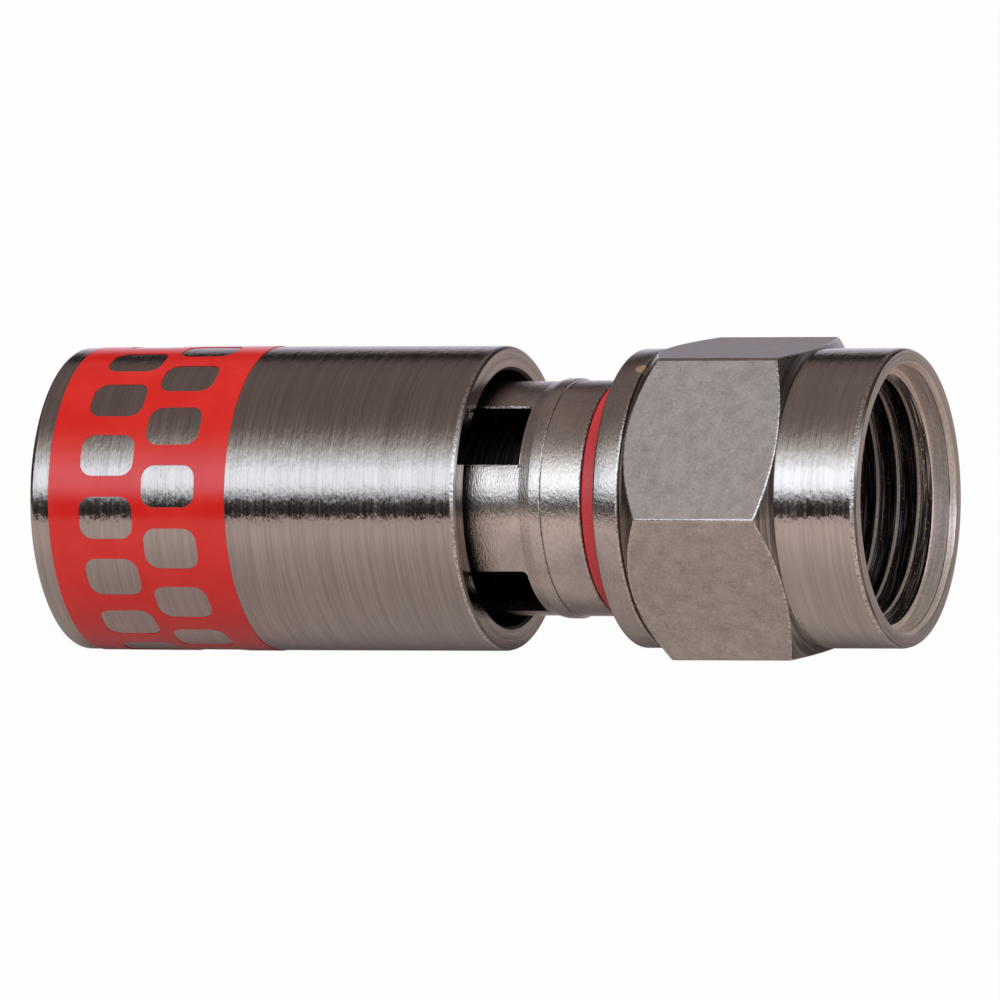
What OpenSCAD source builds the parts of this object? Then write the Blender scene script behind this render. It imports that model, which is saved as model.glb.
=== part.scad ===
// Male coaxial connector for a screened cable, before it is pressed onto the cable.
// The axis is X. The reference plane, the front face of the post, is at X = 0,
// and the mouth of the nut looks towards +X. Lengths are in millimetres.

/* [Coupling nut] */
// Width across the flats of the hexagon
nut_af = 11; // [10.9:0.05:11.6]
// Depth from the mouth down to the reference plane
nut_depth = 7; // [6.4:0.1:8]
// Length behind the reference plane, to the rear face
nut_tail = 3.17; // [2.9:0.01:3.6]
// Length of the round skirt ahead of the hexagon
skirt_len = 3.14; // [2.6:0.02:3.6]
// Diameter of the skirt
skirt_d = 10.85; // [10.5:0.05:10.9]
// Length of the round collar behind the hexagon
collar_len = 0.99; // [0.7:0.01:1.2]
// Diameter of the collar
collar_d = 10.85; // [10.5:0.05:10.9]
// Width of the fine groove between collar and hexagon
groove_w = 0.08; // [0.06:0.01:0.3]
// Depth of that groove
groove_depth = 0.16; // [0.1:0.02:0.3]
// Slope of the chamfer at the front of the hexagon, from its end face
front_slope = 28.5; // [15:0.5:35]
// Slope of the chamfer at the rear of the hexagon, from its end face
rear_slope = 44; // [25:1:50]
// Minor diameter of the thread
thread_minor_d = 8.74; // [8.7:0.02:8.9]
// Distance from the reference plane to the first turn of the thread
thread_start = 0.9; // [0.6:0.1:1.5]
// How much deeper than the thread's minor diameter the smooth mouth is cut, on each side
mouth_cut = 0.46; // [0.4:0.01:0.55]
// Depth of that counterbore
mouth_depth = 0.9; // [0.7:0.1:1.4]
// How much deeper than the minor diameter the run-out behind the thread is cut, on each side
relief_cut = 0.43; // [0.35:0.01:0.5]
// Thickness of the inner lip that holds the nut on the post
nut_lip_t = 1.72; // [1.3:0.01:1.9]

/* [Post] */
// Bore for the cable's dielectric
post_bore_d = 4.9; // [4.7:0.05:5.1]
// Wall of the thin barrel that goes under the cable's braid
barrel_wall = 0.3; // [0.25:0.01:0.4]
// How far the shoulder that the nut turns on stands above the barrel
shoulder_rise = 0.45; // [0.35:0.01:0.55]
// Length of the post
post_len = 17; // [15:0.5:19]
// How far the barb at the rear end stands above the barrel
barb_rise = 0.25; // [0.1:0.01:0.35]
// Length of the barb
barb_len = 1.2; // [0.8:0.1:1.6]

/* [Connector body] */
// Length of the body
body_len = 10.9; // [10:0.1:12]
// Thickness of the front wall, which the post is pressed into
front_wall_t = 2.25; // [1.9:0.05:2.4]
// How far the neck beside the seal stands above the cage
neck_rise = 0.02; // [0.01:0.01:0.06]
// Length of the neck
neck_len = 1.55; // [1.2:0.01:1.7]
// How far the bead stands above the neck
bead_rise = 0.085; // [0.05:0.005:0.12]
// Length of the bead
bead_len = 0.44; // [0.35:0.01:0.7]
// Length of the ramp from the bead down to the cage
ramp_len = 0.43; // [0.3:0.01:0.6]
// Wall of the cage, around the bore that takes the cable's jacket
cage_wall = 0.41; // [0.35:0.01:0.5]
// Length of the guide ring at the rear
guide_len = 3.4; // [2.8:0.1:3.8]
// Number of windows in the cage
window_count = 4; // [3:1:5]
// Length of a window
window_len = 3.6; // [2:0.1:3.8]
// Width of a window
window_w = 2.6; // [1.8:0.05:2.8]
// Radius of a window's corners
window_r = 0.12; // [0.05:0.01:0.3]
// Bare width between the ramp and the windows
window_gap = 0.11; // [0.05:0.01:0.3]
// Turn of the first window, up from the horizontal
window_turn = 40.3; // [0:0.1:89]

/* [Nut seal] */
// Room left for the seal between body and nut
seal_room = 0.9; // [0.8:0.01:1.1]
// How much wider than long the squeezed section of the seal is
seal_spread = 0.2; // [0.05:0.01:0.3]

/* [Compression sleeve] */
// Outer diameter of the sleeve
sleeve_d = 11.1; // [10.5:0.05:12]
// Wall of the sleeve
sleeve_wall = 0.87; // [0.75:0.01:1]
// How far the rear end of the sleeve is drawn in, on each side
rear_draw = 0.04; // [0.01:0.01:0.1]
// Length over which it is drawn in
sleeve_taper_len = 9; // [6:0.5:14]
// Length of the sleeve
sleeve_len = 16.75; // [15.5:0.05:18]
// Thickness of the inward lip at the rear
sleeve_lip_t = 0.9; // [0.7:0.05:1.2]
// How much wider than the body's bore the hole through the lip is, on each side
entry_rise = 0.15; // [0.05:0.01:0.25]
// Chamfer around that hole
entry_chamfer = 0.3; // [0.1:0.05:0.45]
// Radius of the outer edge at the rear
sleeve_edge_r = 0.2; // [0.1:0.02:0.35]
// How far the sleeve is pushed forward when it is pressed
sleeve_travel = 5; // [4:0.1:5.2]
// Distance left to the nut when it is fully pressed
pressed_gap = 0.28; // [0.2:0.01:0.6]

/* [Grip ring] */
// Length of the ring's thin nose
nose_len = 2.5; // [1.5:0.1:2.8]
// Wall of the nose
nose_wall = 0.3; // [0.2:0.01:0.36]

/* [Colour band] */
// Distance from the rear end of the sleeve to the band
band_inset = 0.78; // [0.5:0.02:1.4]
// Length of the band
band_len = 6.95; // [6:0.05:8]
// Thickness of the ink
ink_t = 0.03; // [0.02:0.01:0.06]
// Bare marks in one row around the band
mark_count = 15; // [10:1:16]
// Length of a mark along the sleeve
mark_len = 2.1; // [1.5:0.1:2.4]
// Width of a mark around the sleeve
mark_w = 1.55; // [1:0.05:1.7]
// Radius of a mark's corners
mark_r = 0.5; // [0.1:0.05:0.7]
// Distance between the two rows of marks
row_gap = 0.36; // [0.2:0.02:0.6]

/* [Fits] */
// Gap between the nut and what it turns on
spin_gap = 0.05; // [0.03:0.01:0.08]
// Gap between the sleeve and what it slides on
slide_gap = 0.05; // [0.03:0.01:0.08]
// Gap around the seal and around the ring in the sleeve
seat_gap = 0.02; // [0.01:0.01:0.04]
// Gap between the flange of the post and the thread around it
flange_gap = 0.17; // [0.1:0.01:0.3]
// Gap between the cage and the sleeve around it
cage_gap = 0.42; // [0.35:0.01:0.5]
// Gap left behind the body when the sleeve is fully pressed
close_gap = 0.23; // [0.05:0.01:0.5]
// Gap left ahead of the nose when the sleeve is fully pressed
stop_gap = 0.12; // [0.05:0.01:0.3]
// Small chamfer on turned edges
edge = 0.1; // [0.05:0.01:0.12]

/* [Hidden] */
$fn = 96;
nickel = [0.62, 0.59, 0.56];
corner_r = nut_af / 2 / cos(30);
thread_r = thread_minor_d / 2;
mouth_r = thread_r + mouth_cut;
relief_r = thread_r + relief_cut;
// How far the two chamfers of the hexagon reach along the axis
front_reach = (corner_r - skirt_d / 2) * tan(front_slope);
rear_reach = (corner_r - collar_d / 2) * tan(rear_slope);
hex_front = nut_depth - skirt_len;
hex_rear = collar_len + groove_w - nut_tail;
// The rim of the mouth is eased outside and inside
rim_run = 0.26;
rim_drop = 0.09;
nut_lip_x = nut_lip_t - nut_tail;
// Radii from the dielectric outwards to the nut
barrel_r = post_bore_d / 2 + barrel_wall;
barb_r = barrel_r + barb_rise;
shoulder_r = barrel_r + shoulder_rise;
flange_r = thread_r - flange_gap;
// Radii from the outside of the sleeve inwards to the cable's jacket
front_r = sleeve_d / 2;
rear_r = front_r - rear_draw;
bore_r = front_r - sleeve_wall;
guide_r = bore_r - slide_gap;
cage_r = bore_r - cage_gap;
neck_r = cage_r + neck_rise;
bead_r = neck_r + bead_rise;
jacket_r = cage_r - cage_wall;
entry_r = jacket_r + entry_rise;
nose_r = jacket_r + nose_wall;
body_front = -nut_tail - seal_room;
body_rear = body_front - body_len;
bead_front = body_front - neck_len;
ramp_front = bead_front - bead_len;
ramp_rear = ramp_front - ramp_len;
cage_rear = body_rear + guide_len;
cavity_front = body_front - front_wall_t;
window_front = ramp_rear - window_gap;
sleeve_front = -nut_tail - pressed_gap - sleeve_travel;
sleeve_rear = sleeve_front - sleeve_len;
taper_end = sleeve_rear + sleeve_taper_len;
ring_rear = sleeve_rear + sleeve_lip_t;
ring_step = body_rear - close_gap - sleeve_travel;
nose_tip = ring_step + nose_len;
seat_end = nose_tip + sleeve_travel + stop_gap;
band_rear = sleeve_rear + band_inset;
mark_margin = (band_len - 2 * mark_len - row_gap) / 2;
// Enough to cut clean through any wall
over = 1;

// Turns a profile about the X axis: across is the radius, up is the place along X
module turned() {
  rotate([0, 90, 0]) rotate_extrude() children();
}

// A rectangle with round corners, centred on the origin
module round_rect(length, width, radius) {
  square([length, width - 2 * radius], center = true);
  square([length - 2 * radius, width], center = true);
  for (sx = [-1, 1], sy = [-1, 1]) {
    translate([sx * (length / 2 - radius), sy * (width / 2 - radius)]) circle(radius);
  }
}

// A slot through a wall, at a place along X and an angle up from the horizontal
module wall_slot(x, angle, wall_r, length, width, radius) {
  rotate([90 - angle, 0, 0]) translate([x, 0, wall_r - over])
    linear_extrude(2 * over) round_rect(length, width, radius);
}

// Hexagon with its lower flat on the table and both its ends chamfered
module nut_hexagon() {
  intersection() {
    translate([hex_rear, 0, 0]) rotate([0, 90, 0]) rotate([0, 0, 30])
      cylinder(r = corner_r, h = hex_front - hex_rear, $fn = 6);
    turned() polygon([
      [0, hex_rear],
      [collar_d / 2, hex_rear],
      [corner_r, hex_rear + rear_reach],
      [corner_r, hex_front - front_reach],
      [skirt_d / 2, hex_front],
      [0, hex_front]
    ]);
  }
}

// Collar, groove and skirt as one turned profile
module nut_barrel() {
  collar_r = collar_d / 2;
  skirt_r = skirt_d / 2;
  turned() polygon([
    [0, -nut_tail],
    [collar_r - edge, -nut_tail],
    [collar_r, edge - nut_tail],
    [collar_r, collar_len - edge - nut_tail],
    [collar_r - edge, collar_len - nut_tail],
    [collar_r - groove_depth, collar_len - nut_tail],
    [collar_r - groove_depth, hex_rear + over],
    [skirt_r, hex_front - over],
    [skirt_r, nut_depth - rim_run],
    [skirt_r - rim_drop, nut_depth],
    [0, nut_depth]
  ]);
}

// Inside of the nut: hole in the lip, run-out, thread and smooth mouth
module nut_inside() {
  hole_r = shoulder_r + spin_gap;
  turned() polygon([
    [0, -nut_tail - over],
    [hole_r, -nut_tail - over],
    [hole_r, nut_lip_x],
    [relief_r, nut_lip_x],
    [relief_r, thread_start - relief_cut],
    [thread_r, thread_start],
    [thread_r, nut_depth - mouth_depth],
    [mouth_r, nut_depth - mouth_depth],
    [mouth_r, nut_depth - rim_run],
    [mouth_r + rim_drop, nut_depth],
    [mouth_r + rim_drop, nut_depth + over],
    [0, nut_depth + over]
  ]);
}

module coupling_nut() {
  color(nickel) difference() {
    union() {
      nut_hexagon();
      nut_barrel();
    }
    nut_inside();
  }
}

// Flange, shoulder and thin barrel with its barb, turned as one piece
module post() {
  flange_rear = nut_lip_x + spin_gap;
  color(nickel) turned() polygon([
    [post_bore_d / 2, -post_len],
    [barrel_r, -post_len],
    [barb_r, barb_len - post_len],
    [barrel_r, barb_len - post_len],
    [barrel_r, cavity_front],
    [shoulder_r, cavity_front],
    [shoulder_r, flange_rear],
    [flange_r, flange_rear],
    [flange_r, -edge],
    [flange_r - edge, 0],
    [post_bore_d / 2, 0]
  ]);
}

// Front wall, neck, bead, cage and guide ring before the windows are cut
module body_blank() {
  seat_r = nose_r + slide_gap;
  turned() polygon([
    [shoulder_r, body_front],
    [neck_r - edge, body_front],
    [neck_r, body_front - edge],
    [neck_r, bead_front],
    [bead_r, bead_front],
    [bead_r, ramp_front],
    [cage_r, ramp_rear],
    [cage_r, cage_rear],
    [guide_r, cage_rear - guide_r + cage_r],
    [guide_r, body_rear + edge],
    [guide_r - edge, body_rear],
    [seat_r, body_rear],
    [seat_r, seat_end],
    [jacket_r, seat_end],
    [jacket_r, cavity_front],
    [shoulder_r, cavity_front]
  ]);
}

module connector_body() {
  color(nickel) difference() {
    body_blank();
    for (i = [0:window_count - 1]) {
      wall_slot(window_front - window_len / 2, window_turn + i * 360 / window_count,
                cage_r, window_len, window_w, window_r);
    }
  }
}

// Rubber ring squeezed a little flat between body and nut
module nut_seal() {
  section_r = (seal_room - spin_gap - seat_gap) / 2;
  inner_middle = shoulder_r + seat_gap + section_r;
  middle = body_front + seat_gap + section_r;
  color([0.78, 0.16, 0.17]) turned() {
    translate([inner_middle, middle]) circle(section_r);
    translate([inner_middle + seal_spread, middle]) circle(section_r);
    translate([inner_middle, middle - section_r]) square([seal_spread, 2 * section_r]);
  }
}

// Radius of the sleeve's outside at a place along X
function sleeve_r(x) = x < taper_end
  ? rear_r + rear_draw * (x - sleeve_rear) / sleeve_taper_len
  : front_r;

// Outside of the sleeve
module sleeve_outline() {
  polygon([
    [0, sleeve_rear],
    [rear_r, sleeve_rear],
    [front_r, taper_end],
    [front_r, sleeve_front],
    [0, sleeve_front]
  ]);
}

// What is taken off the rear edge of the sleeve to round it
module rear_edge_waste() {
  middle = [rear_r - sleeve_edge_r, sleeve_rear + sleeve_edge_r];
  difference() {
    translate([middle[0], sleeve_rear - over]) square([over, over + sleeve_edge_r]);
    translate(middle) circle(sleeve_edge_r);
  }
}

// Lip, entry chamfer and main bore
module sleeve_inside() {
  polygon([
    [0, sleeve_rear - over],
    [entry_r + entry_chamfer + over, sleeve_rear - over],
    [entry_r, sleeve_rear + entry_chamfer],
    [entry_r, ring_rear],
    [bore_r, ring_rear],
    [bore_r, sleeve_front - edge],
    [bore_r + edge + over, sleeve_front + over],
    [0, sleeve_front + over]
  ]);
}

// What is taken off the front edge of the sleeve
module front_edge_waste() {
  polygon([
    [front_r - edge, sleeve_front],
    [front_r, sleeve_front - 2 * edge],
    [front_r + over, sleeve_front - 2 * edge],
    [front_r + over, sleeve_front + over],
    [front_r - edge, sleeve_front + over]
  ]);
}

module compression_sleeve() {
  color(nickel) turned() difference() {
    sleeve_outline();
    sleeve_inside();
    rear_edge_waste();
    front_edge_waste();
  }
}

// Plastic ring that the sleeve drives into the rear of the body
module grip_ring() {
  ring_r = bore_r - seat_gap;
  color([0.06, 0.06, 0.07]) turned() polygon([
    [jacket_r, ring_rear],
    [ring_r, ring_rear],
    [ring_r, ring_step - edge],
    [ring_r - edge, ring_step],
    [nose_r, ring_step],
    [nose_r, nose_tip - edge],
    [nose_r - edge, nose_tip],
    [jacket_r, nose_tip]
  ]);
}

// Ink printed around the sleeve, with two staggered rows of bare marks
module color_band() {
  step = 360 / mark_count;
  band_front = band_rear + band_len;
  stations = taper_end > band_rear && taper_end < band_front
    ? [band_rear, taper_end, band_front]
    : [band_rear, band_front];
  color([0.89, 0.2, 0.16]) difference() {
    turned() polygon(concat(
      [for (x = stations) [sleeve_r(x), x]],
      [for (i = [len(stations) - 1:-1:0]) [sleeve_r(stations[i]) + ink_t, stations[i]]]
    ));
    for (row = [0, 1], i = [0:mark_count - 1]) {
      wall_slot(band_rear + mark_margin + mark_len / 2 + row * (mark_len + row_gap),
                (i + row / 2) * step, front_r, mark_len, mark_w, mark_r);
    }
  }
}

coupling_nut();
post();
connector_body();
nut_seal();
compression_sleeve();
grip_ring();
color_band();
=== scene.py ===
import math

import bpy
from mathutils import Matrix, Vector


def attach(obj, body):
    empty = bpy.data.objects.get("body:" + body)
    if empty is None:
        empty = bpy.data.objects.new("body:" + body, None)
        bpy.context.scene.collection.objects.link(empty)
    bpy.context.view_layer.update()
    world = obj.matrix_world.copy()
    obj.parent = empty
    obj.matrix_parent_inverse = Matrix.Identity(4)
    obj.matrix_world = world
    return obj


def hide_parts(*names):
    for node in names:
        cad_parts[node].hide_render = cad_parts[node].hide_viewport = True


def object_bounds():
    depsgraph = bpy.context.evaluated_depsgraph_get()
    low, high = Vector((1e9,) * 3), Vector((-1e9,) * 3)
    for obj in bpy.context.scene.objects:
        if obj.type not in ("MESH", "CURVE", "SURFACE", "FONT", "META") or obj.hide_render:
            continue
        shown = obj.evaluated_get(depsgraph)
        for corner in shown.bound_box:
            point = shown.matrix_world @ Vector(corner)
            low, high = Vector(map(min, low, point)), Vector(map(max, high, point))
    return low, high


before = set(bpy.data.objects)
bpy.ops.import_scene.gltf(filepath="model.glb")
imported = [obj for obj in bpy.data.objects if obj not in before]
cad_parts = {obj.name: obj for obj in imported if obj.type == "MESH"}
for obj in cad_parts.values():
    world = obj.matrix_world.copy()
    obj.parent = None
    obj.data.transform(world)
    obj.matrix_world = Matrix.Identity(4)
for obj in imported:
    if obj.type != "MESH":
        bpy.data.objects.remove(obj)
cadLow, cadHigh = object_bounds()
print("frame loaded:", len(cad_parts), "nodes")

mm = 0.001
tiny = 0.001 * mm  # points nearer than this are one
axisX = Vector((1, 0, 0))


# selecting

def deselectAll():
    for obj in bpy.context.selected_objects:
        obj.select_set(False)


def pick(obj):
    deselectAll()
    obj.select_set(True)
    bpy.context.view_layer.objects.active = obj


def editMode(obj, kind="VERT"):
    pick(obj)
    bpy.ops.object.mode_set(mode="EDIT")
    bpy.ops.mesh.select_mode(type=kind)


def objectMode():
    bpy.ops.object.mode_set(mode="OBJECT")


def applyPlace(obj):
    pick(obj)
    bpy.ops.object.transform_apply(location=True, rotation=True, scale=True)


def applyModifier(obj, kind, **settings):
    pick(obj)
    bpy.ops.object.modifier_add(type=kind)
    made = obj.modifiers[-1]
    for name, value in settings.items():
        setattr(made, name, value)
    bpy.ops.object.modifier_apply(modifier=made.name)


# turning: a profile is a closed list of (x, radius, ease) in millimetres

def easedProfile(corners, arcSteps=4):
    points = []
    for i, (x, r, ease) in enumerate(corners):
        here = Vector((x, r))
        if not ease:
            points.append(here)
            continue
        before = (Vector(corners[i - 1][:2]) - here).normalized()
        after = (Vector(corners[(i + 1) % len(corners)][:2]) - here).normalized()
        half = before.angle(after) / 2
        centre = here + (before + after).normalized() * ease / math.sin(half)
        start = (here + before * ease / math.tan(half) - centre).normalized()
        end = (here + after * ease / math.tan(half) - centre).normalized()
        for k in range(arcSteps + 1):
            points.append(centre + start.slerp(end, k / arcSteps) * ease)
    return points


def drawProfile(name, points, closed=True):
    # one vertex, drawn on from point to point in the XZ plane
    x, r = points[0]
    deselectAll()
    bpy.ops.mesh.primitive_plane_add(size=mm, location=(x * mm, 0, r * mm))
    obj = bpy.context.object
    obj.name = obj.data.name = name
    applyPlace(obj)
    editMode(obj)
    bpy.ops.mesh.select_all(action="SELECT")
    bpy.ops.mesh.merge(type="CENTER")
    path = list(points[1:]) + ([points[0]] if closed else [])
    for nextX, nextR in path:
        step = ((nextX - x) * mm, 0, (nextR - r) * mm)
        bpy.ops.mesh.extrude_region_move(TRANSFORM_OT_translate={"value": step})
        x, r = nextX, nextR
    objectMode()
    return obj


def turned(name, corners, steps=256, arcSteps=4):
    obj = drawProfile(name, easedProfile(corners, arcSteps))
    editMode(obj)
    bpy.ops.mesh.select_all(action="SELECT")
    bpy.ops.mesh.spin(steps=steps, angle=2 * math.pi, center=(0, 0, 0), axis=axisX)
    bpy.ops.mesh.select_all(action="SELECT")
    bpy.ops.mesh.remove_doubles(threshold=tiny)
    bpy.ops.mesh.normals_make_consistent(inside=False)
    objectMode()
    return obj


def cutWith(obj, tool, operation="DIFFERENCE"):
    applyModifier(obj, "BOOLEAN", operation=operation, object=tool, solver="EXACT")
    pick(tool)
    bpy.ops.object.delete()


def bevelEdges(obj, wanted, width, slot, segments=2):
    # wanted looks at the edge's middle and the normals of its two faces
    mesh = obj.data
    sides = {}
    for face in mesh.polygons:
        for key in face.edge_keys:
            sides.setdefault(key, []).append(face.normal.copy())
    editMode(obj, "EDGE")
    bpy.ops.mesh.select_all(action="DESELECT")
    objectMode()
    for edge in mesh.edges:
        normals = sides.get(tuple(sorted(edge.vertices)), [])
        middle = sum((mesh.vertices[v].co for v in edge.vertices), Vector()) / 2
        edge.select = len(normals) == 2 and wanted(middle, *normals)
    editMode(obj, "EDGE")
    bpy.ops.mesh.bevel(offset=width * mm, segments=segments, material=slot, loop_slide=False)
    objectMode()


def finishMesh(obj, sharpAngle=32):
    pick(obj)
    bpy.ops.object.shade_smooth_by_angle(angle=math.radians(sharpAngle))
    applyModifier(obj, "WEIGHTED_NORMAL", mode="FACE_AREA", weight=100, keep_sharp=True)


def radiusOf(point):
    return math.hypot(point.y, point.z) / mm


# one rounded block, copied around the axis and joined into one cutter

def blockRing(name, block, places):
    x = block["x"] * mm
    deselectAll()
    bpy.ops.mesh.primitive_cube_add(size=1)
    first = bpy.context.object
    first.scale = (block["length"] * mm, block["width"] * mm, block["height"] * mm)
    applyPlace(first)
    editMode(first, "EDGE")
    bpy.ops.mesh.select_all(action="DESELECT")
    objectMode()
    for edge in first.data.edges:
        a, b = (first.data.vertices[v].co for v in edge.vertices)
        edge.select = abs(a.z - b.z) > 0.5 * block["height"] * mm
    editMode(first, "EDGE")
    bpy.ops.mesh.bevel(offset=block["cornerRadius"] * mm, segments=block["cornerSteps"])
    objectMode()
    copies = []
    for shift, degrees in places:
        made = first.copy()
        made.data = first.data.copy()
        bpy.context.collection.objects.link(made)
        turn = Matrix.Rotation(math.radians(90 - degrees), 4, "X")
        made.matrix_world = turn @ Matrix.Translation((x + shift * mm, 0, block["radius"] * mm))
        copies.append(made)
    pick(first)
    bpy.ops.object.delete()
    for made in copies:
        made.select_set(True)
    bpy.context.view_layer.objects.active = copies[0]
    bpy.ops.object.join()
    ring = bpy.context.object
    ring.name = name
    applyPlace(ring)
    return ring


# shader maths

class Wire:
    def __init__(self, tree, socket=None):
        self.tree = tree
        self.socket = socket

    def node(self, kind, settings=None, sockets=None, output=0):
        made = self.tree.nodes.new(kind)
        for name, value in (settings or {}).items():
            if name == "stops":
                ramp = made.color_ramp
                while len(ramp.elements) < len(value):
                    ramp.elements.new(0.5)
                for element, (position, colour) in zip(ramp.elements, value):
                    element.position = position
                    element.color = (*colour, 1)
            else:
                setattr(made, name, value)
        for name, value in (sockets or {}).items():
            if isinstance(value, Wire):
                self.tree.links.new(value.socket, made.inputs[name])
            else:
                made.inputs[name].default_value = value
        return Wire(self.tree, made.outputs[output])

    def outlet(self, which):
        # another output of the node that made this one
        return Wire(self.tree, self.socket.node.outputs[which])

    def maths(self, operation, *values):
        return self.node("ShaderNodeMath", {"operation": operation}, dict(enumerate(values)))

    def __add__(self, other):
        return self.maths("ADD", self, other)

    __radd__ = __add__

    def __sub__(self, other):
        return self.maths("SUBTRACT", self, other)

    def __rsub__(self, other):
        return self.maths("SUBTRACT", other, self)

    def __mul__(self, other):
        return self.maths("MULTIPLY", self, other)

    __rmul__ = __mul__

    def step(self, low, high):
        # 0 below low, 1 above high, smooth between
        return self.node(
            "ShaderNodeMapRange",
            {"interpolation_type": "SMOOTHSTEP"},
            {"Value": self, "From Min": low, "From Max": high, "To Min": 0, "To Max": 1},
        )

    def mix(self, a, b):
        # colour a where this is 0, colour b where it is 1
        sockets = {0: self, 6: a, 7: b}
        return self.node("ShaderNodeMix", {"data_type": "RGBA"}, sockets, output=2)

    def noise(self, place, scale, detail=2, roughness=0.5):
        sockets = {"Vector": place, "Scale": scale, "Detail": detail, "Roughness": roughness}
        return self.node("ShaderNodeTexNoise", {}, sockets)


def startMaterial(name):
    material = bpy.data.materials.new(name)
    material.use_nodes = True
    tree = material.node_tree
    shader = tree.nodes["Principled BSDF"]
    wire = Wire(tree)
    coords = wire.node("ShaderNodeTexCoord", output=3)
    place = wire.node(
        "ShaderNodeVectorMath", {"operation": "SCALE"}, {0: coords, "Scale": 1 / mm}
    )
    return material, shader, wire, place


def feed(shader, **values):
    for name, value in values.items():
        socket = shader.inputs[name.replace("_", " ")]
        if isinstance(value, Wire):
            value.tree.links.new(value.socket, socket)
        else:
            socket.default_value = value


def turnedPlace(wire, place, along, around):
    # marks of the lathe run round the axis: the radius counts beside x, so that cones and
    # end faces get rings as well
    radiusShare = 1.37
    x = wire.node("ShaderNodeSeparateXYZ", {}, {0: place})
    y, z = x.outlet(1), x.outlet(2)
    run = x + wire.maths("SQRT", y * y + z * z) * radiusShare
    return wire.node(
        "ShaderNodeCombineXYZ", {}, {0: run * along, 1: y * around, 2: z * around}
    )


def wornShare(wire, place, grain):
    # 1 where the plate is worn through, 0 elsewhere
    sockets = {0: place, 1: wornSpot["centre"]}
    gap = wire.node("ShaderNodeVectorMath", {"operation": "DISTANCE"}, sockets, 1)
    spot = 1 - gap.step(wornSpot["radius"] * 0.5, wornSpot["radius"])
    return spot * grain.step(0.3, 0.42)


def bump(wire, height, depth, normal=None):
    # depth in millimetres
    sockets = {"Height": height, "Strength": 1.0, "Distance": depth * mm}
    if normal:
        sockets["Normal"] = normal
    return wire.node("ShaderNodeBump", {}, sockets)


# materials

metalTone = {
    "base": (0.50, 0.435, 0.395, 1),
    "dark": (0.37, 0.31, 0.28, 1),
    "plate": (0.60, 0.525, 0.475, 1),
    "flat": (0.67, 0.565, 0.505, 1),
    "flatDark": (0.43, 0.365, 0.325, 1),
    "plateDark": (0.46, 0.39, 0.35, 1),
    "neckDark": (0.46, 0.385, 0.345, 1),
    "neck": (0.73, 0.635, 0.57, 1),
    # painted highlight: a pale plate for lit edges and for glints
    "bright": (0.74, 0.67, 0.60, 1),
    # painted shade: the darkest plate, for end faces, chamfers and hollows in shade
    "shadeDeep": (0.15, 0.118, 0.104, 1),
    # painted shade: near black for the unlit walls and the thread
    "inside": (0.025, 0.02, 0.018, 1),
    # painted light: a paler plate for the lit counterbore and thread crests
    "mouth": (0.95, 0.77, 0.66, 1),
    "mouthDark": (0.60, 0.47, 0.40, 1),
    "bare": (0.62, 0.40, 0.17, 1),
    # painted sparkle highlights on the crests
    "sparkleHighlight": (1.0, 0.76, 0.52, 1),
}
# where the plate is worn through at the front of the nut's collar
wornSpot = {"centre": (-2.24, -2.1, 5.0), "radius": 0.34}


def brushedNickel(name, darkTone, baseTone):
    # plated over fine turning marks: long lines, and short ones that cross the light's edge
    material, shader, wire, place = startMaterial(name)
    fine = wire.noise(turnedPlace(wire, place, 15, 0.3), 1, 3, 0.6)
    streak = wire.noise(turnedPlace(wire, place, 4.5, 0.16), 1, 2)
    short = wire.noise(turnedPlace(wire, place, 6, 2.6), 1, 2, 0.6)
    tone = (fine * 0.6 + streak * 0.4).step(0.28, 0.72)
    lines = bump(wire, fine, 0.008)
    feed(
        shader,
        Base_Color=tone.mix(metalTone[darkTone], metalTone[baseTone]),
        Metallic=1.0,
        Roughness=0.125 + (fine - 0.5) * 0.24 + (streak - 0.5) * 0.14,
        Normal=bump(wire, short, 0.012, lines),
    )
    return material


def platedNickel(name, darkTone, baseTone, roughness):
    # bright plate over a fine peel, which breaks up the edges of what it reflects
    material, shader, wire, place = startMaterial(name)
    peel = wire.noise(turnedPlace(wire, place, 16, 6), 1, 3, 0.65)
    rings = wire.noise(turnedPlace(wire, place, 12, 0.4), 1, 2)
    cloud = wire.noise(place, 0.8, 2)
    tone = (peel * 0.5 + cloud * 0.5).step(0.2, 0.75)
    worn = wornShare(wire, place, peel)
    feed(
        shader,
        Base_Color=worn.mix(tone.mix(metalTone[darkTone], metalTone[baseTone]), metalTone["bare"]),
        Metallic=1.0 - worn * 0.6,
        Roughness=roughness + (cloud - 0.5) * 0.08 + worn * 0.3,
        Normal=bump(wire, peel, 0.015, bump(wire, rings, 0.001)),
    )
    return material


def mattNickel(name):
    # the bar's own drawn skin, plated: matt, with fine specks and painted glints
    material, shader, wire, place = startMaterial(name)
    speck = wire.noise(place, 11, 3, 0.7)
    cloud = wire.noise(place, 2.2, 3)
    glint = wire.noise(place, 7, 2).step(0.62, 0.8) * 0.8
    tone = (speck * 0.6 + cloud * 0.4).step(0.3, 0.7).mix(metalTone["flatDark"], metalTone["flat"])
    feed(
        shader,
        Base_Color=glint.mix(tone, metalTone["bright"]),
        Metallic=1.0,
        Roughness=0.4 + (cloud - 0.5) * 0.06,
        Normal=bump(wire, speck, 0.0035),
    )
    return material


def edgeHighlightAndWearNickel(name):
    # edges in a bright plate, a painted highlight of the light they catch, and one spot where the
    # plate is worn through
    material, shader, wire, place = startMaterial(name)
    grain = wire.noise(place, 9, 3, 0.7)
    worn = wornShare(wire, place, grain)
    plate = grain.step(0.35, 0.6).mix(metalTone["dark"], metalTone["bright"])
    feed(
        shader,
        Base_Color=worn.mix(plate, metalTone["bare"]),
        Metallic=1.0 - worn * 0.6,
        Roughness=0.2 + worn * 0.3,
        Normal=bump(wire, grain, 0.022),
    )
    return material


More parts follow.
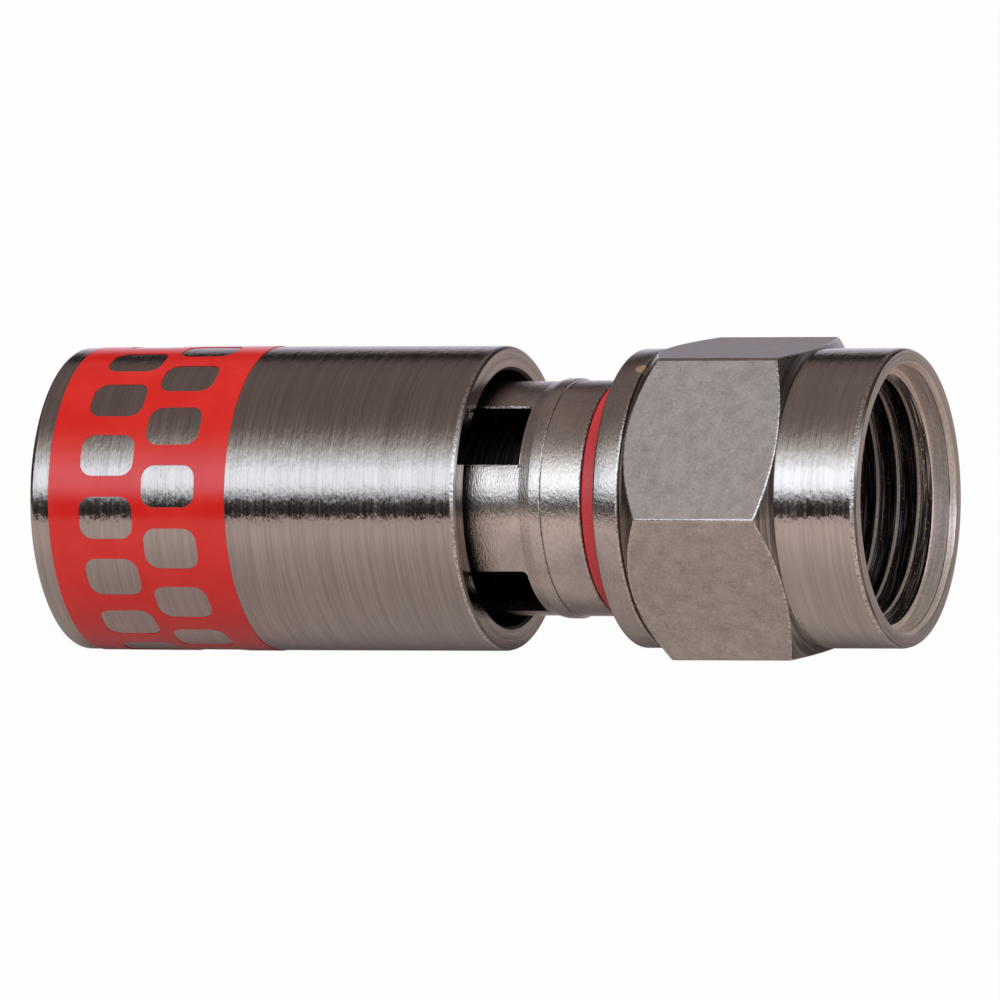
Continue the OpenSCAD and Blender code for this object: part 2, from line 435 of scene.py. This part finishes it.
def shadedConeNickel(name):
    # painted shade: a darker copy of the plate for the chamfers and the groove beside the hexagon,
    # with turning rings
    material, shader, wire, place = startMaterial(name)
    rings = wire.noise(turnedPlace(wire, place, 10, 0.3), 1, 3, 0.6)
    feed(
        shader,
        Base_Color=rings.step(0.35, 0.65).mix(metalTone["shadeDeep"], metalTone["dark"]),
        Metallic=1.0,
        Roughness=0.27,
        Normal=bump(wire, rings, 0.004),
    )
    return material


def mouthNickel(name, sparkleFrom):
    # dull plate on the counterbore and on the crests of the thread, in a paler tone that paints
    # the light falling into the mouth, and with painted sparkles
    material, shader, wire, place = startMaterial(name)
    rings = wire.noise(turnedPlace(wire, place, 9, 0.4), 1, 3, 0.6)
    speck = wire.noise(place, 8, 3, 0.7)
    # painted sparkle: specks of a bright warm tone where the crests catch the light
    bare = speck.step(sparkleFrom, sparkleFrom + 0.08)
    tone = (rings * 0.6 + speck * 0.4).step(0.35, 0.65)
    tone = tone.mix(metalTone["mouthDark"], metalTone["mouth"])
    feed(
        shader,
        Base_Color=bare.mix(tone, metalTone["sparkleHighlight"]),
        Metallic=0.5,
        Roughness=0.45 - bare * 0.2,
        Normal=bump(wire, speck, 0.008, bump(wire, rings, 0.003)),
    )
    return material


def threadNickel(name):
    # painted shade: a near-black plate in the thread, with sparse warm brass-coloured specks
    material, shader, wire, place = startMaterial(name)
    rings = wire.noise(turnedPlace(wire, place, 14, 0.5), 1, 3)
    speck = wire.noise(place, 8, 3, 0.7)
    warmSpeck = speck.step(0.62, 0.7)
    plate = rings.step(0.5, 0.66).mix(metalTone["inside"], metalTone["dark"])
    feed(
        shader,
        Base_Color=warmSpeck.mix(plate, metalTone["bare"]),
        Metallic=0.9,
        Roughness=0.3 + (rings - 0.5) * 0.1,
        Normal=bump(wire, speck, 0.005, bump(wire, rings, 0.002)),
    )
    return material


def shadedInsideNickel(name):
    # painted shade: a near-black plate for the dull and unlit walls inside the body and the sleeve
    material, shader, wire, place = startMaterial(name)
    rings = wire.noise(turnedPlace(wire, place, 8, 0.5), 1, 2)
    feed(
        shader,
        Base_Color=rings.step(0.4, 1.0).mix(metalTone["inside"], metalTone["shadeDeep"]),
        Metallic=1.0,
        Roughness=0.5,
        Normal=bump(wire, rings, 0.002),
    )
    return material


def redInk(name):
    # printed ink: glossy and even, with a slow shift of tone
    material, shader, wire, place = startMaterial(name)
    cloud = wire.noise(place, 0.7, 2)
    rings = wire.noise(turnedPlace(wire, place, 9, 0.35), 1, 2)
    feed(
        shader,
        Base_Color=cloud.step(0.3, 0.7).mix((0.90, 0.02, 0.014, 1), (0.95, 0.03, 0.02, 1)),
        Metallic=0.0,
        Roughness=0.16 + (cloud - 0.5) * 0.06,
        Normal=bump(wire, rings, 0.0008),
    )
    return material


def redRubber(name):
    material, shader, wire, place = startMaterial(name)
    grain = wire.noise(place, 12, 2)
    feed(
        shader,
        Base_Color=grain.step(0.3, 0.7).mix((0.84, 0.05, 0.055, 1), (0.92, 0.07, 0.075, 1)),
        Roughness=0.38,
        Normal=bump(wire, grain, 0.0015),
    )
    return material


def blackPlastic(name):
    material, shader, wire, place = startMaterial(name)
    grain = wire.noise(place, 10, 2)
    feed(
        shader,
        Base_Color=grain.step(0.3, 0.7).mix((0.02, 0.02, 0.022, 1), (0.03, 0.03, 0.033, 1)),
        Roughness=0.5,
        Normal=bump(wire, grain, 0.002),
    )
    return material


def setMaterials(obj, materials, chooser=None):
    # one slot per material; chooser gives a face's slot from its centre and normal
    obj.data.materials.clear()
    for material in materials:
        obj.data.materials.append(material)
    if chooser:
        for face in obj.data.polygons:
            face.material_index = chooser(face.center, face.normal)


sleeveMetal = brushedNickel("brushedNickel", "dark", "base")
skirtMetal = brushedNickel("skirtNickel", "plateDark", "plate")
# painted shade: the end faces get a darker copy of the brushed plate
shadedFaceMetal = brushedNickel("shadedFaceNickel", "shadeDeep", "dark")
collarMetal = platedNickel("platedNickel", "dark", "plate", 0.13)
neckMetal = platedNickel("neckNickel", "neckDark", "neck", 0.19)
flatMetal = mattNickel("mattNickel")
edgeHighlightAndWearMetal = edgeHighlightAndWearNickel("edgeHighlightAndWearNickel")
threadMetal = threadNickel("threadNickel")
shadedInsideMetal = shadedInsideNickel("shadedInsideNickel")
shadedConeMetal = shadedConeNickel("shadedConeNickel")
mouthMetal = mouthNickel("mouthNickel", 0.64)
crestMetal = mouthNickel("crestNickel", 0.5)
print("materials made")


def seatPiece(obj, body, node):
    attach(obj, body)
    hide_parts(node)


# coupling nut

nut = {
    "flats": 11.0,
    "cornerEase": 0.1,
    "barMiddle": 2,
    "barLength": 16,
    "blankRadius": 6.55,  # the turned blank is wider than the bar's corners here
    "steps": 288,
    "rear": -3.17,
    "collarFront": -2.18,
    "grooveFront": -2.10,
    "grooveDepth": 0.16,
    "hexFront": 3.86,
    "front": 7.0,
    "roundRadius": 5.425,
    "frontSlope": 28.5,
    "rearSlope": 44,
    "lipRadius": 3.25,
    "lipFront": -1.45,
    "reliefRadius": 4.8,
    "boreRadius": 4.3,
    "threadStart": 0.97,
    "threadEnd": 6.1,
    "mouthRadius": 4.83,
    "rimRun": 0.24,
    "rimDrop": 0.09,
    "edge": 0.1,
    # the bright line is the edge plate's painted highlight on a bevel
    "highlightBevel": 0.05,  # width of the bright line where a chamfer meets a flat
}
# crest and root are the flat widths; the tap is cut off in the run-out and in the counterbore
thread = {
    "pitch": 25.4 / 32, "minor": 4.37, "major": 4.7625, "crest": 0.125, "root": 0.1,
    "from": -0.467, "turns": 11, "steps": 128, "cutRear": 0.2, "cutFront": 6.6,
}


def hexagonBar():
    # bar stock with one flat down and its long corners slightly rounded
    radius = nut["flats"] / 2 / math.cos(math.radians(30)) * mm
    deselectAll()
    bpy.ops.mesh.primitive_cylinder_add(
        vertices=6, radius=radius, depth=nut["barLength"] * mm,
        location=(nut["barMiddle"] * mm, 0, 0), rotation=(0, math.radians(90), 0),
    )
    bar = bpy.context.object
    applyPlace(bar)
    lowest = min(v.co.z for v in bar.data.vertices)
    if abs(lowest + nut["flats"] / 2 * mm) > 0.01 * mm:
        bar.rotation_euler = (math.radians(30), 0, 0)
        applyPlace(bar)
    editMode(bar, "EDGE")
    bpy.ops.mesh.select_all(action="DESELECT")
    objectMode()
    for edge in bar.data.edges:
        a, b = (bar.data.vertices[v].co for v in edge.vertices)
        edge.select = abs(a.x - b.x) > mm
    editMode(bar, "EDGE")
    bpy.ops.mesh.bevel(offset=nut["cornerEase"] * mm, segments=4)
    objectMode()
    return bar


def threadTap():
    # one pitch of the thread's section, wound up and closed at both ends
    flank = (thread["pitch"] - thread["crest"] - thread["root"]) / 2
    x = thread["from"]
    section = [
        (x, thread["minor"]),
        (x + thread["crest"], thread["minor"]),
        (x + thread["crest"] + flank, thread["major"]),
        (x + thread["crest"] + flank + thread["root"], thread["major"]),
        (x + thread["pitch"], thread["minor"]),
    ]
    tap = drawProfile("threadTap", section, closed=False)
    applyModifier(
        tap, "SCREW", axis="X", screw_offset=thread["pitch"] * mm, iterations=thread["turns"],
        steps=thread["steps"], render_steps=thread["steps"], use_merge_vertices=True,
        merge_threshold=tiny,
    )
    editMode(tap)
    bpy.ops.mesh.select_all(action="SELECT")
    bpy.ops.mesh.remove_doubles(threshold=tiny)
    for place, way in ((thread["cutRear"], -1), (thread["cutFront"], 1)):
        bpy.ops.mesh.select_all(action="SELECT")
        bpy.ops.mesh.bisect(
            plane_co=(place * mm, 0, 0), plane_no=(way, 0, 0), clear_outer=True, threshold=tiny,
        )
    bpy.ops.mesh.select_all(action="SELECT")
    bpy.ops.mesh.remove_doubles(threshold=tiny)
    bpy.ops.mesh.fill_holes(sides=0)  # the boolean needs both ends closed
    bpy.ops.mesh.normals_make_consistent(inside=False)
    objectMode()
    return tap


def makeNut():
    round_, rear, front = nut["roundRadius"], nut["rear"], nut["front"]
    over = nut["blankRadius"]
    rearRun = (over - round_) * math.tan(math.radians(nut["rearSlope"]))
    frontRun = (over - round_) * math.tan(math.radians(nut["frontSlope"]))
    edge, mouth, run, drop = nut["edge"], nut["mouthRadius"], nut["rimRun"], nut["rimDrop"]
    groove = round_ - nut["grooveDepth"]
    relief = nut["reliefRadius"]
    blank = turned("couplingNut", [
        (rear, nut["lipRadius"], 0.05),
        (rear, round_, edge),
        (nut["collarFront"], round_, edge),
        (nut["collarFront"], groove, 0.02),
        (nut["grooveFront"], groove, 0.02),
        (nut["grooveFront"], round_, 0),
        (nut["grooveFront"] + rearRun, over, 0),
        (nut["hexFront"] - frontRun, over, 0),
        (nut["hexFront"], round_, 0),
        (front - run, round_, 0.03),
        (front - run * 0.4, round_ - drop * 0.35, 0.03),
        (front, round_ - drop, 0.03),
        (front, mouth + drop, 0.04),
        (front - run, mouth, 0.14),
        (nut["threadEnd"], mouth, 0.04),
        (nut["threadEnd"], nut["boreRadius"], 0),
        (nut["threadStart"], nut["boreRadius"], 0),
        (nut["threadStart"] - relief + nut["boreRadius"], relief, 0.05),
        (nut["lipFront"], relief, 0.1),
        (nut["lipFront"], nut["lipRadius"], 0.05),
    ], steps=nut["steps"])
    cutWith(blank, hexagonBar(), "INTERSECT")
    cutWith(blank, threadTap())
    return blank


nutMetals = {
    "flat": 0, "skirt": 1, "collar": 2, "thread": 3, "edge": 4, "cone": 5, "mouth": 6, "crest": 7,
    "face": 8,
}


def nutZone(centre, normal):
    radius, x = radiusOf(centre), centre.x / mm
    outward = (normal.y * centre.y + normal.z * centre.z) > 0
    if radius > nut["roundRadius"] + 0.02 and outward:
        # the hexagon's chamfers get the darker cone plate, a painted shade
        if abs(normal.x) > 0.2:
            return nutMetals["cone"]
        # the flats look along every 60 degrees, and the rounded corners between them
        spread = math.degrees(math.atan2(normal.y, -normal.z)) % 60
        return nutMetals["collar"] if 5 < spread < 55 else nutMetals["flat"]
    if outward and radius > 5.2:
        # the collar's front edge gets the edge plate's painted highlight, the groove beside the
        # hexagon the cone plate's painted shade
        if nut["collarFront"] - 0.12 < x < nut["hexFront"] - 0.2:
            return nutMetals["edge"] if x < nut["collarFront"] - 0.005 else nutMetals["cone"]
        # the rim chamfer: painted highlight on its outer part, painted shade on its inner part
        if x > nut["front"] - nut["rimRun"] - 0.04 and 0.1 < normal.x < 0.8:
            return nutMetals["edge" if normal.x < 0.4 else "cone"]
        return nutMetals["skirt"] if x > 0 else nutMetals["collar"]
    # thread crests and counterbore get the paler plate's painted light, the thread flanks the
    # near-black painted shade
    if radius < 5 and not outward and abs(normal.x) < 0.04:
        if x > nut["threadEnd"]:
            return nutMetals["mouth"]
        return nutMetals["crest" if radius < thread["minor"] + 0.02 else "thread"]
    if x < nut["threadEnd"] - 0.01 and radius < 5:
        return nutMetals["thread"]
    # the front face gets the darker face plate's painted shade
    if normal.x > 0.9 and x > nut["front"] - 0.02:
        return nutMetals["face"]
    if x > nut["threadEnd"] + 0.2 and radius < nut["mouthRadius"] + nut["rimDrop"] - 0.02:
        # the chamfer gets the counterbore's paler plate with its painted light, and the edge
        # between them is bright
        return nutMetals["mouth" if abs(normal.x) > 0.3 else "skirt"]
    return nutMetals["mouth" if radius < nut["mouthRadius"] + 0.01 else "skirt"]


def chamferEdge(middle, normalA, normalB):
    # where a chamfer of the hexagon meets a flat
    flat, cone = sorted((normalA, normalB), key=lambda normal: abs(normal.x))
    outside = radiusOf(middle) > nut["roundRadius"] + 0.02
    return outside and abs(flat.x) < 0.01 and abs(cone.x) > 0.2


nutPiece = makeNut()
setMaterials(
    nutPiece,
    [
        flatMetal, skirtMetal, collarMetal, threadMetal, edgeHighlightAndWearMetal, shadedConeMetal, mouthMetal,
        crestMetal, shadedFaceMetal,
    ],
    nutZone,
)
# the bevels where chamfers meet flats take the edge plate's painted highlight
bevelEdges(nutPiece, chamferEdge, nut["highlightBevel"], nutMetals["edge"])
finishMesh(nutPiece)
seatPiece(nutPiece, "nut", "coupling_nut")
print("coupling nut made:", len(nutPiece.data.polygons), "faces")

# connector body

body = {
    "front": -4.07,
    "rear": -14.97,
    "wallInner": 3.2,
    "neckRadius": 4.28,
    "neckRear": -5.62,
    "beadRadius": 4.365,
    "beadRear": -6.06,
    "rampRear": -6.49,
    "cageRadius": 4.26,
    "cageRear": -11.57,
    "guideRadius": 4.63,
    "boreRadius": 3.85,
    "cavityFront": -6.32,
    "seatRadius": 4.2,
    "seatEnd": -12.58,
}
window = {
    "x": -8.4, "length": 3.6, "width": 2.6, "height": 1.6, "radius": 4.2,
    "cornerRadius": 0.12, "cornerSteps": 3, "turn": 40.3, "count": 4, "rim": 0.07,
}


def makeBody():
    b = body
    obj = turned("connectorBody", [
        (b["front"], b["wallInner"], 0.05),
        (b["front"], b["neckRadius"], 0.1),
        (b["neckRear"], b["neckRadius"], 0.01),
        (b["neckRear"], b["beadRadius"], 0.06),
        (b["beadRear"], b["beadRadius"], 0.04),
        (b["rampRear"], b["cageRadius"], 0.04),
        (b["cageRear"], b["cageRadius"], 0.04),
        (b["cageRear"] - b["guideRadius"] + b["cageRadius"], b["guideRadius"], 0.05),
        (b["rear"], b["guideRadius"], 0.1),
        (b["rear"], b["seatRadius"], 0.04),
        (b["seatEnd"], b["seatRadius"], 0.04),
        (b["seatEnd"], b["boreRadius"], 0.04),
        (b["cavityFront"], b["boreRadius"], 0.1),
        (b["cavityFront"], b["wallInner"], 0.04),
    ])
    places = [(0, window["turn"] + i * 360 / window["count"]) for i in range(window["count"])]
    cutWith(obj, blockRing("windowBlocks", window, places))
    return obj


bodyMetals = {"outside": 0, "inside": 1, "edge": 2}


def bodyZone(centre, normal):
    outward = (normal.y * centre.y + normal.z * centre.z) > 0.3 * radiusOf(centre) * mm
    # rounded edges facing forward get the edge plate's painted highlight; the inner and window
    # walls get the near-black painted shade
    if radiusOf(centre) > body["cageRadius"] - 0.08 and 0.15 < normal.x < 0.97:
        return bodyMetals["edge"]
    if outward or abs(normal.x) > 0.9 and radiusOf(centre) > body["cageRadius"] - 0.01:
        return bodyMetals["outside"]
    return bodyMetals["inside"]


def windowEdge(middle, normalA, normalB):
    # the outer rim of a window
    outer = abs(radiusOf(middle) - body["cageRadius"]) < 0.03
    inWindow = abs(middle.x / mm - window["x"]) < window["length"] / 2 + 0.01
    return outer and inWindow and normalA.dot(normalB) < 0.8


bodyPiece = makeBody()
setMaterials(bodyPiece, [neckMetal, shadedInsideMetal, edgeHighlightAndWearMetal], bodyZone)
# the window rims are bevelled in the edge plate, a painted highlight
bevelEdges(bodyPiece, windowEdge, window["rim"], bodyMetals["edge"], segments=1)
finishMesh(bodyPiece)
seatPiece(bodyPiece, "core", "connector_body")
print("connector body made:", len(bodyPiece.data.polygons), "faces")

# post

post = {
    "bore": 2.45, "barrel": 2.75, "barb": 3.0, "shoulder": 3.2, "flange": 4.2,
    "rear": -17.0, "barbFront": -15.8, "shoulderRear": -6.32, "flangeRear": -1.4,
}
postPiece = turned("centrePost", [
    (post["rear"], post["bore"], 0.04),
    (post["rear"], post["barrel"], 0.04),
    (post["barbFront"], post["barb"], 0.03),
    (post["barbFront"], post["barrel"], 0.02),
    (post["shoulderRear"], post["barrel"], 0.04),
    (post["shoulderRear"], post["shoulder"], 0.04),
    (post["flangeRear"], post["shoulder"], 0.04),
    (post["flangeRear"], post["flange"], 0.05),
    (0, post["flange"], 0.1),
    (0, post["bore"], 0.06),
], steps=192)
finishMesh(postPiece)
# the post's rear, inside the body, gets the near-black painted shade
setMaterials(postPiece, [collarMetal, shadedInsideMetal], lambda centre, normal: int(centre.x < -5 * mm))
seatPiece(postPiece, "core", "post")

# seal

seal = {"front": -3.22, "rear": -4.05, "inner": 3.22, "outer": 4.275, "round": 0.3, "lip": 0.08}
sealPiece = turned("nutSeal", [
    (seal["rear"], seal["inner"], seal["round"]),
    (seal["rear"], seal["outer"], seal["lip"]),
    (seal["front"], seal["outer"], seal["round"]),
    (seal["front"], seal["inner"], seal["round"]),
], steps=192, arcSteps=6)
finishMesh(sealPiece)
setMaterials(sealPiece, [redRubber("redRubber")])
seatPiece(sealPiece, "core", "nut_seal")
print("post and seal made")

# compression sleeve

sleeve = {
    "rear": -25.2,
    "front": -8.45,
    "taperEnd": -16.2,
    "rearRadius": 5.51,
    "radius": 5.55,
    "bore": 4.68,
    "lipFront": -24.3,
    "entry": 4.0,
    "entryChamfer": 0.3,
    "rearEase": 0.2,
    "edge": 0.1,
}


def sleeveRadius(x):
    share = min(1, (x - sleeve["rear"]) / (sleeve["taperEnd"] - sleeve["rear"]))
    return sleeve["rearRadius"] + share * (sleeve["radius"] - sleeve["rearRadius"])


def makeSleeve():
    s, edge = sleeve, sleeve["edge"]
    return turned("compressionSleeve", [
        (s["rear"], s["entry"] + s["entryChamfer"], 0.03),
        (s["rear"], s["rearRadius"], s["rearEase"]),
        (s["taperEnd"], s["radius"], 0),
        (s["front"] - 1.8 * edge, s["radius"], 0.03),
        (s["front"] - 0.7 * edge, s["radius"] - 0.3 * edge, 0.03),
        (s["front"], s["radius"] - edge, 0.03),
        (s["front"], s["bore"] + edge, 0.03),
        (s["front"] - edge, s["bore"], 0.03),
        (s["lipFront"], s["bore"], 0.04),
        (s["lipFront"], s["entry"], 0.04),
        (s["rear"] + s["entryChamfer"], s["entry"], 0.03),
    ])


sleeveMetals = {"outside": 0, "inside": 1, "chamfer": 2, "edge": 3, "face": 4}


def sleeveZone(centre, normal):
    radius, x = radiusOf(centre), centre.x / mm
    inward = (normal.y * centre.y + normal.z * centre.z) < -0.01 * radius * mm
    # the inner walls get the near-black painted shade
    if inward and x > sleeve["rear"] + 0.35:
        return sleeveMetals["inside"]
    # at the front edge the outer part gets the edge plate's painted highlight, the inner part the
    # cone plate's painted shade, and the end face the face plate's painted shade
    if x > sleeve["front"] - 2 * sleeve["edge"] and 0.1 < normal.x < 0.9:
        return sleeveMetals["edge" if normal.x < 0.4 else "chamfer"]
    return sleeveMetals["face" if normal.x > 0.8 else "outside"]


sleevePiece = makeSleeve()
finishMesh(sleevePiece)
setMaterials(
    sleevePiece, [sleeveMetal, shadedInsideMetal, shadedConeMetal, edgeHighlightAndWearMetal, shadedFaceMetal], sleeveZone
)
seatPiece(sleevePiece, "sleeve", "compression_sleeve")
print("sleeve made")

# grip ring

ring = {
    "rear": -24.3, "step": -20.2, "tip": -17.7, "bore": 3.85, "collar": 4.66, "nose": 4.15,
}
ringPiece = turned("gripRing", [
    (ring["rear"], ring["bore"], 0.06),
    (ring["rear"], ring["collar"], 0.04),
    (ring["step"], ring["collar"], 0.1),
    (ring["step"], ring["nose"], 0.03),
    (ring["tip"], ring["nose"], 0.1),
    (ring["tip"], ring["bore"], 0.06),
], steps=192)
finishMesh(ringPiece)
setMaterials(ringPiece, [blackPlastic("blackPlastic")])
seatPiece(ringPiece, "sleeve", "grip_ring")

# colour band

band = {"rear": -24.42, "front": -17.47, "ink": 0.025, "inset": 0.005}
mark = {
    "x": 0, "length": 2.1, "width": 1.55, "height": 1.0, "radius": 5.55,
    "cornerRadius": 0.5, "cornerSteps": 6, "count": 15, "rowGap": 0.36, "margin": 1.195,
}


def makeBand():
    # the whole band lies on the sleeve's taper
    ends = (band["rear"], band["front"])
    outer = [(x, sleeveRadius(x) + band["ink"], 0) for x in ends]
    inner = [(x, sleeveRadius(x) - band["inset"], 0) for x in reversed(ends)]
    obj = turned("colourBand", outer + inner)
    pitch = mark["length"] + mark["rowGap"]
    first = band["rear"] + mark["margin"] + mark["length"] / 2
    places = [
        (first + row * pitch, (i + row / 2) * 360 / mark["count"])
        for row in (0, 1)
        for i in range(mark["count"])
    ]
    cutWith(obj, blockRing("markBlocks", mark, places))
    return obj


bandPiece = makeBand()
finishMesh(bandPiece)
setMaterials(bandPiece, [redInk("redInk")])
seatPiece(bandPiece, "sleeve", "color_band")
print("grip ring and band made")

# camera

camera = {
    "tilt": 21.9,  # between the connector's axis and the picture plane
    "elevation": 6.9,
    "distance": 700,
    "lens": 696,
    "anchorX": -0.2,  # this point of the axis is at the two offsets below from the centre
    "right": 8.074,
    "up": 0.0615,
}


def makeCamera():
    elevation = math.radians(camera["elevation"])
    azimuth = math.asin(math.sin(math.radians(camera["tilt"])) / math.cos(elevation))
    back = Vector((
        math.sin(azimuth) * math.cos(elevation),
        -math.cos(azimuth) * math.cos(elevation),
        math.sin(elevation),
    ))
    right = (axisX - back * axisX.dot(back)).normalized()
    up = back.cross(right)
    place = (
        axisX * camera["anchorX"]
        - right * camera["right"]
        - up * camera["up"]
        + back * camera["distance"]
    ) * mm
    data = bpy.data.cameras.new("camera")
    data.lens = camera["lens"]
    data.sensor_width = 36
    data.clip_start = 0.01
    data.clip_end = 20
    obj = bpy.data.objects.new("camera", data)
    bpy.context.collection.objects.link(obj)
    obj.matrix_world = Matrix((
        (right.x, up.x, back.x, place.x),
        (right.y, up.y, back.y, place.y),
        (right.z, up.z, back.z, place.z),
        (0, 0, 0, 1),
    ))
    bpy.context.scene.camera = obj


makeCamera()

# studio

studio = {
    "floorSize": 6.0,
    "floorColour": (0.60, 0.54, 0.515, 1),
    "whiteForCamera": 0.98,  # share of plain white that the camera sees in the floor
    "glowNear": 0.29,  # share of warm glow in reflections, beside the object and far from it
    "glowFar": 0.50,
    "nearAt": 10,
    "farAt": 20,
    "middle": -9,  # the glow spreads from this place on the axis, as an ellipse along it
    "stretch": 0.2,
    "underShare": 0.3,  # how much of the near glow is left right under the object
    "underTo": (1, 3.2),
    "glowColour": (1.0, 0.88, 0.845, 1),
}
# what reflections show: the height is the sine of the elevation
skyFront = [
    (0.000, (0.020, 0.017, 0.017)),
    (0.082, (0.028, 0.024, 0.024)),
    (0.165, (0.35, 0.405, 0.465)),
    (0.235, (0.62, 0.725, 0.84)),
    (0.300, (0.73, 0.853, 0.988)),
    (0.450, (0.73, 0.853, 0.988)),
    (0.520, (0.56, 0.64, 0.73)),
    (0.620, (0.43, 0.47, 0.50)),
    (0.680, (0.29, 0.305, 0.31)),
    (0.750, (0.23, 0.228, 0.228)),
    (0.820, (0.15, 0.135, 0.135)),
    (1.000, (0.105, 0.088, 0.086)),
]
skyRight = [
    (0.00, (0.012, 0.010, 0.010)),
    (0.105, (0.015, 0.013, 0.013)),
    (0.22, (0.75, 0.86, 0.98)),
    (0.62, (0.75, 0.86, 0.98)),
    (0.72, (0.14, 0.13, 0.13)),
    (1.00, (0.10, 0.09, 0.09)),
]
skySides = [
    (0.00, (0.020, 0.017, 0.016)),
    (0.40, (0.030, 0.026, 0.025)),
    (0.68, (0.085, 0.073, 0.072)),
    (0.85, (0.095, 0.080, 0.078)),
    (1.00, (0.090, 0.075, 0.074)),
]
skyBack = [
    (0.00, (0.38, 0.375, 0.45)),
    (0.20, (0.26, 0.255, 0.31)),
    (0.36, (0.144, 0.130, 0.149)),
    (0.44, (0.014, 0.012, 0.012)),
    (0.59, (0.014, 0.012, 0.012)),
    (0.67, (0.078, 0.064, 0.065)),
    (1.00, (0.086, 0.071, 0.069)),
]
sky = {
    "strength": 2.4, "softboxFrom": -38, "rightFrom": 4, "softboxTo": 80, "blend": 4,
    "backFrom": 135, "backBlend": 15,
}
# a dark card in front of the object, seen only in its reflections
flag = {"y": -49, "top": 0.4, "length": 400, "colour": (0.04, 0.034, 0.034, 1)}
# azimuth 0 looks along +Y
lamps = {
    "overhead": {"azimuth": 170, "elevation": 62, "distance": 700, "width": 600, "height": 500,
                 "radiance": 2.2, "colour": (1.0, 0.99, 0.97), "inReflections": False},
}


def direction(azimuth, elevation):
    a, e = math.radians(azimuth), math.radians(elevation)
    return Vector((math.sin(a) * math.cos(e), -math.cos(a) * math.cos(e), math.sin(e)))


def makeLamp(name, lamp):
    data = bpy.data.lights.new(name, "AREA")
    data.shape = "RECTANGLE"
    data.size = lamp["width"] * mm
    data.size_y = lamp["height"] * mm
    data.energy = math.pi * data.size * data.size_y * lamp["radiance"]
    data.color = lamp["colour"]
    obj = bpy.data.objects.new(name, data)
    bpy.context.collection.objects.link(obj)
    way = direction(lamp["azimuth"], lamp["elevation"])
    obj.location = way * lamp["distance"] * mm
    obj.rotation_euler = way.to_track_quat("Z", "Y").to_euler()
    obj.visible_glossy = lamp["inReflections"]
    obj.visible_camera = False


def makeFloor(height):
    deselectAll()
    bpy.ops.mesh.primitive_plane_add(size=studio["floorSize"], location=(0, 0, height))
    floor = bpy.context.object
    floor.name = "floor"
    applyPlace(floor)
    material, shader, wire, place = startMaterial("paleFloor")
    feed(shader, Base_Color=studio["floorColour"], Roughness=0.7)
    x = wire.node("ShaderNodeSeparateXYZ", {}, {0: place})
    y = x.outlet(1)
    along = x - studio["middle"]
    reach = wire.maths("SQRT", along * along * studio["stretch"] + y * y)
    far = reach.step(studio["nearAt"], studio["farAt"])
    beside = wire.maths("ABSOLUTE", y).step(*studio["underTo"])
    ray = wire.node("ShaderNodeLightPath")
    mirrored = wire.maths(
        "MAXIMUM", ray.outlet("Is Glossy Ray"), ray.outlet("Is Transmission Ray")
    )
    white = (
        ray * studio["whiteForCamera"]
        + mirrored
        * (
            studio["glowNear"] * (studio["underShare"] + (1 - studio["underShare"]) * beside)
            + far * (studio["glowFar"] - studio["glowNear"])
        )
    )
    glowColour = ray.mix(studio["glowColour"], (1, 1, 1, 1))
    glow = wire.node("ShaderNodeEmission", {}, {"Color": glowColour, "Strength": 1.0})
    lit = Wire(material.node_tree, shader.outputs[0])
    blend = wire.node("ShaderNodeMixShader", {}, {0: white, 1: lit, 2: glow})
    material.node_tree.links.new(
        blend.socket, material.node_tree.nodes["Material Output"].inputs["Surface"]
    )
    setMaterials(floor, [material])


def makeFlag(height):
    # stands on the floor, facing the object
    tall = flag["top"] - height / mm
    deselectAll()
    bpy.ops.mesh.primitive_plane_add(
        size=mm, location=(0, flag["y"] * mm, height + tall / 2 * mm),
        rotation=(math.radians(90), 0, 0),
    )
    card = bpy.context.object
    card.name = "darkCard"
    card.scale = (flag["length"], tall, 1)
    applyPlace(card)
    material, shader, wire, place = startMaterial("darkCard")
    feed(shader, Base_Color=flag["colour"], Roughness=0.9)
    setMaterials(card, [material])
    card.visible_camera = False
    card.visible_diffuse = False
    card.visible_shadow = False
    card.visible_transmission = False


def makeWorld():
    world = bpy.data.worlds.new("studio")
    bpy.context.scene.world = world
    world.use_nodes = True
    tree = world.node_tree
    wire = Wire(tree)
    way = wire.node("ShaderNodeTexCoord")
    x = wire.node("ShaderNodeSeparateXYZ", {}, {0: way})
    y, z = x.outlet(1), x.outlet(2)
    azimuth = wire.maths("ARCTAN2", x, y * -1) * math.degrees(1)
    front, right, sides, back = (
        wire.node("ShaderNodeValToRGB", {"stops": stops}, {0: z})
        for stops in (skyFront, skyRight, skySides, skyBack)
    )
    blend = sky["blend"]
    inFront = (
        azimuth.step(sky["softboxFrom"] - blend, sky["softboxFrom"])
        * (1 - azimuth.step(sky["softboxTo"], sky["softboxTo"] + blend))
    )
    toTheRight = azimuth.step(sky["rightFrom"], sky["rightFrom"] + 3 * blend)
    spread = wire.maths("ABSOLUTE", azimuth)
    behind = spread.step(sky["backFrom"], sky["backFrom"] + sky["backBlend"])
    shade = inFront.mix(behind.mix(sides, back), toTheRight.mix(front, right))
    # the camera itself sees the floor's white above the horizon
    white = studio["whiteForCamera"] / sky["strength"]
    seen = wire.node("ShaderNodeLightPath").mix(shade, (white, white, white, 1))
    tree.links.new(seen.socket, tree.nodes["Background"].inputs["Color"])
    tree.nodes["Background"].inputs["Strength"].default_value = sky["strength"]


for name, lamp in lamps.items():
    makeLamp(name, lamp)
makeFloor(cadLow.z)
makeFlag(cadLow.z)
makeWorld()
bpy.context.scene.view_settings.view_transform = "Standard"
print("studio made")
